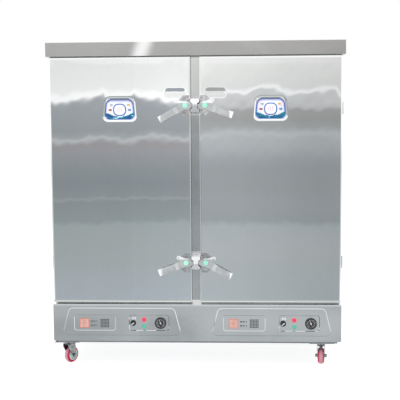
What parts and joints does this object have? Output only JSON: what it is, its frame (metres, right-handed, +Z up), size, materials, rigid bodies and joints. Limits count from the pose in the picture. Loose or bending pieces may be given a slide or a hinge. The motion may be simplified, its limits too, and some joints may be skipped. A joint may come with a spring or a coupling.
{
  "type": "rice steaming cabinet",
  "caption": "Free-standing stainless rice steaming cabinet with insulated doors, lever latches, tray racks, a control fascia and swivel casters.",
  "frame": {"origin": "on the floor under the centre of the cabinet's box", "axes": "+Z up, front faces -Y, +X to the right when facing the front"},
  "size_m": [1.4, 0.679, 1.55],
  "materials": {
    "stainless_shell": "semi-mirror stainless sheet with fine grain and light smudges",
    "stainless_liner": "satin stainless sheet",
    "frame_steel": "grey painted box section",
    "bright_steel": "polished pressed steel",
    "zinc_plate": "bright zinc plating",
    "red_tyre": "glossy crimson polyurethane",
    "hub_plastic": "pale mint moulded nylon",
    "mint_cap": "glossy mint green plastic",
    "seal_rubber": "pale grey silicone",
    "black_plastic": "black moulded plastic",
    "pointer_paint": "white painted metal",
    "clear_lens": "clear",
    "red_lens": "translucent red",
    "green_lens": "translucent green",
    "badge_print": "printed plate",
    "foam": "rigid foam",
    "heater_tube": "heat-tinted stainless tube",
    "contactor_plastic": "off-white moulding"
  },
  "bodies": {
    "cabinet": {"base_frame": "frame_steel", "base_fascia": "stainless_shell", "left_side_panel": "stainless_shell", "right_side_panel": "stainless_shell", "back_panel": "stainless_shell", "top_cover": "stainless_shell", "front_frame": "stainless_shell", "left_chamber": "stainless_liner", "right_chamber": "stainless_liner", "cabinet_insulation": "foam", "tray_racks": "stainless_liner", "heating_elements": "heater_tube", "latch_keepers": "bright_steel", "cabinet_hinge_leaves": "bright_steel", "caster_plates": "zinc_plate", "control_bezels": "black_plastic", "gauge_lenses": "clear_lens", "red_lamps": "red_lens", "green_lamps": "green_lens", "rear_service_cover": "stainless_shell", "contactors": "contactor_plastic", "float_box": "stainless_liner", "drain_pipes": "stainless_liner", "steam_vents": "stainless_liner", "cable_gland": "black_plastic", "cabinet_screws": "bright_steel"},
    "left_door": {"left_door_skin": "stainless_shell", "left_door_inner_panel": "stainless_liner", "left_door_gasket": "seal_rubber", "left_door_badge": "badge_print", "left_door_hinge_leaves": "bright_steel", "left_latch_plates": "bright_steel", "left_latch_studs": "mint_cap"},
    "upper_left_latch_lever": {"upper_left_latch_lever": "bright_steel"},
    "lower_left_latch_lever": {"lower_left_latch_lever": "bright_steel"},
    "right_door": {"right_door_skin": "stainless_shell", "right_door_inner_panel": "stainless_liner", "right_door_gasket": "seal_rubber", "right_door_badge": "badge_print", "right_door_hinge_leaves": "bright_steel", "right_latch_plates": "bright_steel", "right_latch_studs": "mint_cap"},
    "upper_right_latch_lever": {"upper_right_latch_lever": "bright_steel"},
    "lower_right_latch_lever": {"lower_right_latch_lever": "bright_steel"},
    "left_gauge_pointer": {"left_gauge_pointer": "pointer_paint"},
    "left_switch_knob": {"left_switch_knob": "black_plastic"},
    "right_gauge_pointer": {"right_gauge_pointer": "pointer_paint"},
    "right_switch_knob": {"right_switch_knob": "black_plastic"},
    "front_left_caster": {"front_left_fork": "zinc_plate"},
    "front_left_wheel": {"front_left_hub": "hub_plastic", "front_left_tyre": "red_tyre"},
    "front_right_caster": {"front_right_fork": "zinc_plate"},
    "front_right_wheel": {"front_right_hub": "hub_plastic", "front_right_tyre": "red_tyre"},
    "rear_left_caster": {"rear_left_fork": "zinc_plate"},
    "rear_left_wheel": {"rear_left_hub": "hub_plastic", "rear_left_tyre": "red_tyre"},
    "rear_right_caster": {"rear_right_fork": "zinc_plate"},
    "rear_right_wheel": {"rear_right_hub": "hub_plastic", "rear_right_tyre": "red_tyre"}
  },
  "joints": [
    {"name": "left_door_hinge", "type": "hinge", "parent": "cabinet", "child": "left_door", "pos_m": [-0.6935, -0.27088, 0.873], "axis": [0, 0, -1], "range_deg": [0, 175]},
    {"name": "upper_left_latch", "type": "hinge", "parent": "left_door", "child": "upper_left_latch_lever", "pos_m": [-0.0465, -0.31888, 1.254], "axis": [0, 1, 0], "range_deg": [-20, 64]},
    {"name": "lower_left_latch", "type": "hinge", "parent": "left_door", "child": "lower_left_latch_lever", "pos_m": [-0.0465, -0.31888, 0.51], "axis": [0, 1, 0], "range_deg": [-28.6, 55.4]},
    {"name": "right_door_hinge", "type": "hinge", "parent": "cabinet", "child": "right_door", "pos_m": [0.6935, -0.27088, 0.873], "axis": [0, 0, 1], "range_deg": [0, 175]},
    {"name": "upper_right_latch", "type": "hinge", "parent": "right_door", "child": "upper_right_latch_lever", "pos_m": [0.0465, -0.31888, 1.254], "axis": [0, -1, 0], "range_deg": [-29.5, 54.5]},
    {"name": "lower_right_latch", "type": "hinge", "parent": "right_door", "child": "lower_right_latch_lever", "pos_m": [0.0465, -0.31888, 0.51], "axis": [0, -1, 0], "range_deg": [-20.8, 63.2]},
    {"name": "left_gauge_pointer_turn", "type": "hinge", "parent": "cabinet", "child": "left_gauge_pointer", "pos_m": [-0.172, -0.31948, 0.217], "axis": [0, 1, 0], "range_deg": [-115, 155]},
    {"name": "left_switch_turn", "type": "hinge", "parent": "cabinet", "child": "left_switch_knob", "pos_m": [-0.304, -0.31948, 0.217], "axis": [0, 1, 0], "range_deg": [0, 90]},
    {"name": "right_gauge_pointer_turn", "type": "hinge", "parent": "cabinet", "child": "right_gauge_pointer", "pos_m": [0.546, -0.31948, 0.217], "axis": [0, 1, 0], "range_deg": [-115, 155]},
    {"name": "right_switch_turn", "type": "hinge", "parent": "cabinet", "child": "right_switch_knob", "pos_m": [0.414, -0.31948, 0.217], "axis": [0, 1, 0], "range_deg": [0, 90]},
    {"name": "front_left_caster_swivel", "type": "hinge", "parent": "cabinet", "child": "front_left_caster", "pos_m": [-0.63, -0.25088, 0.1], "axis": [0, 0, 1], "continuous": true},
    {"name": "front_left_wheel_spin", "type": "hinge", "parent": "front_left_caster", "child": "front_left_wheel", "pos_m": [-0.62238, -0.23913, 0.04], "axis": [0.8387, -0.5446, 0], "continuous": true},
    {"name": "front_right_caster_swivel", "type": "hinge", "parent": "cabinet", "child": "front_right_caster", "pos_m": [0.601, -0.25088, 0.1], "axis": [0, 0, 1], "continuous": true},
    {"name": "front_right_wheel_spin", "type": "hinge", "parent": "front_right_caster", "child": "front_right_wheel", "pos_m": [0.60246, -0.23695, 0.04], "axis": [0.9945, -0.1045, 0], "continuous": true},
    {"name": "rear_left_caster_swivel", "type": "hinge", "parent": "cabinet", "child": "rear_left_caster", "pos_m": [-0.63, 0.21312, 0.1], "axis": [0, 0, 1], "continuous": true},
    {"name": "rear_left_wheel_spin", "type": "hinge", "parent": "rear_left_caster", "child": "rear_left_wheel", "pos_m": [-0.63592, 0.22581, 0.04], "axis": [0.9063, 0.4226, 0], "continuous": true},
    {"name": "rear_right_caster_swivel", "type": "hinge", "parent": "cabinet", "child": "rear_right_caster", "pos_m": [0.601, 0.21312, 0.1], "axis": [0, 0, 1], "continuous": true},
    {"name": "rear_right_wheel_spin", "type": "hinge", "parent": "rear_right_caster", "child": "rear_right_wheel", "pos_m": [0.60533, 0.22644, 0.04], "axis": [0.9511, -0.309, 0], "continuous": true}
  ]
}
